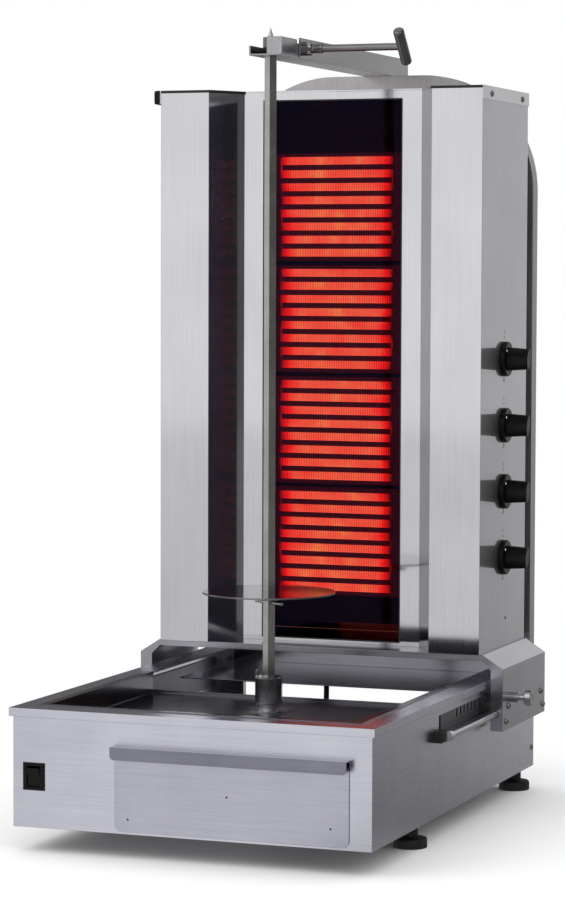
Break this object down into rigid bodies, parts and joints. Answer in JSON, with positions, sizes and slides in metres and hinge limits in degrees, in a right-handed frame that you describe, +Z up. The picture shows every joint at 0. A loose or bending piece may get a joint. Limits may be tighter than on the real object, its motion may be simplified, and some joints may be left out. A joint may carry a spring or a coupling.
{
  "type": "electric doner kebab grill",
  "caption": "Upright electric grill with a driven vertical spit over a drip pan and a sliding radiant tower behind it, set by side knobs",
  "frame": {"origin": "middle of the footprint box of the whole grill, at the floor", "axes": "+Z up, -Y toward the user who stands at the drawer, +X to that user's right, where the knobs are"},
  "size_m": [0.5282, 0.7422, 0.9864],
  "materials": {
    "stainless": "brushed",
    "polished": "polished",
    "black_plastic": "satin",
    "black_rubber": "matte",
    "zinc": "zinc plated",
    "cast": "cast",
    "motor": "satin",
    "bronze": "plain",
    "glass_black": "glass ceramic",
    "insulation": "fibre board",
    "ribbon": "glowing"
  },
  "bodies": {
    "base": {"base_housing": "stainless", "base_floor": "stainless", "grease_pan": "stainless", "pan_seal": "polished", "drawer_runners": "zinc", "rocker_bezel": "black_plastic", "index_rails": "zinc", "guide_rods": "polished", "rod_blocks": "black_rubber", "rod_collars": "zinc", "gearbox_case": "cast", "gearbox_cover": "cast", "shaft_bushes": "bronze", "motor_can": "motor", "motor_brackets": "zinc", "mast_hoop": "stainless", "mast_bolts": "zinc", "top_arm": "stainless", "bearing_block": "cast", "cable_gland": "black_plastic", "base_screws": "zinc", "motor_lead": "black_rubber"},
    "drawer": {"drawer_front": "stainless", "drawer_handle": "stainless", "drawer_tray": "stainless"},
    "rocker": {"rocker": "black_plastic"},
    "drive": {"output_shaft": "zinc", "output_gear": "zinc", "drive_socket": "polished"},
    "pinion": {"motor_pinion": "zinc"},
    "spit": {"skewer": "polished", "disc_pin": "polished"},
    "disc": {"spit_disc": "polished"},
    "clamp": {"clamp_screw": "polished", "clamp_grip": "polished"},
    "tower": {"saddle": "stainless", "lower_apron": "stainless", "rod_glides": "black_plastic", "tower_screws": "zinc", "plunger_sleeve": "polished", "right_panel": "stainless", "left_panel": "stainless", "glass_frame": "stainless", "ceramic_glass": "glass_black", "heater_carrier": "zinc", "heater_insulation": "insulation", "heater_ribbons": "ribbon", "tower_back": "stainless", "tower_lid": "stainless", "corner_cap": "black_plastic", "regulators": "black_plastic"},
    "plunger": {"index_plunger": "polished"},
    "foot_front_left": {"foot_front_left": "black_plastic"},
    "foot_front_right": {"foot_front_right": "black_plastic"},
    "foot_rear_left": {"foot_rear_left": "black_plastic"},
    "foot_rear_right": {"foot_rear_right": "black_plastic"},
    "knob_1": {"knob_1": "black_plastic"},
    "knob_2": {"knob_2": "black_plastic"},
    "knob_3": {"knob_3": "black_plastic"},
    "knob_4": {"knob_4": "black_plastic"}
  },
  "joints": [
    {"name": "tower_slide", "type": "slide", "parent": "base", "child": "tower", "axis": [0, -1, 0], "range_m": [0, 0.135], "deforming": ["motor_lead"]},
    {"name": "plunger_push", "type": "slide", "parent": "tower", "child": "plunger", "axis": [-1, 0, 0], "range_m": [0, 0.008]},
    {"name": "drawer_slide", "type": "slide", "parent": "base", "child": "drawer", "axis": [0, -1, 0], "range_m": [0, 0.15]},
    {"name": "rocker_tilt", "type": "hinge", "parent": "base", "child": "rocker", "pos_m": [-0.21095, -0.35385, 0.091], "axis": [1, 0, 0], "range_deg": [-20, 0]},
    {"name": "spit_turn", "type": "hinge", "parent": "base", "child": "drive", "pos_m": [-0.01295, -0.09885, 0.1545], "axis": [0, 0, 1], "continuous": true},
    {"name": "pinion_turn", "type": "hinge", "parent": "base", "child": "pinion", "pos_m": [-0.01295, -0.03845, 0.106], "axis": [0, 0, 1], "continuous": true},
    {"name": "spit_lift", "type": "slide", "parent": "drive", "child": "spit", "axis": [0, 0, 1], "range_m": [0, 0.02575]},
    {"name": "disc_slide", "type": "slide", "parent": "spit", "child": "disc", "axis": [0, 0, 1], "range_m": [0, 0.45]},
    {"name": "clamp_turn", "type": "hinge", "parent": "base", "child": "clamp", "pos_m": [0.00755, -0.02785, 0.964], "axis": [1, 0, 0], "range_deg": [-180, 180]},
    {"name": "knob_1_turn", "type": "hinge", "parent": "tower", "child": "knob_1", "pos_m": [0.20555, 0.17515, 0.32], "axis": [-1, 0, 0], "range_deg": [0, 270]},
    {"name": "knob_2_turn", "type": "hinge", "parent": "tower", "child": "knob_2", "pos_m": [0.20555, 0.17515, 0.4054], "axis": [-1, 0, 0], "range_deg": [0, 270]},
    {"name": "knob_3_turn", "type": "hinge", "parent": "tower", "child": "knob_3", "pos_m": [0.20555, 0.17515, 0.4908], "axis": [-1, 0, 0], "range_deg": [0, 270]},
    {"name": "knob_4_turn", "type": "hinge", "parent": "tower", "child": "knob_4", "pos_m": [0.20555, 0.17515, 0.5762], "axis": [-1, 0, 0], "range_deg": [0, 270]},
    {"name": "foot_front_left_turn", "type": "hinge", "parent": "base", "child": "foot_front_left", "pos_m": [-0.21795, -0.15785, 0.03], "axis": [0, 0, 1], "range_deg": [-180, 180]},
    {"name": "foot_front_right_turn", "type": "hinge", "parent": "base", "child": "foot_front_right", "pos_m": [0.19205, -0.15785, 0.03], "axis": [0, 0, 1], "range_deg": [-180, 180]},
    {"name": "foot_rear_left_turn", "type": "hinge", "parent": "base", "child": "foot_rear_left", "pos_m": [-0.21795, 0.28115, 0.03], "axis": [0, 0, 1], "range_deg": [-180, 180]},
    {"name": "foot_rear_right_turn", "type": "hinge", "parent": "base", "child": "foot_rear_right", "pos_m": [0.19205, 0.28115, 0.03], "axis": [0, 0, 1], "range_deg": [-180, 180]}
  ],
  "couplings": [
    {"joint": "pinion_turn", "follows": "spit_turn", "ratio": -3}
  ]
}
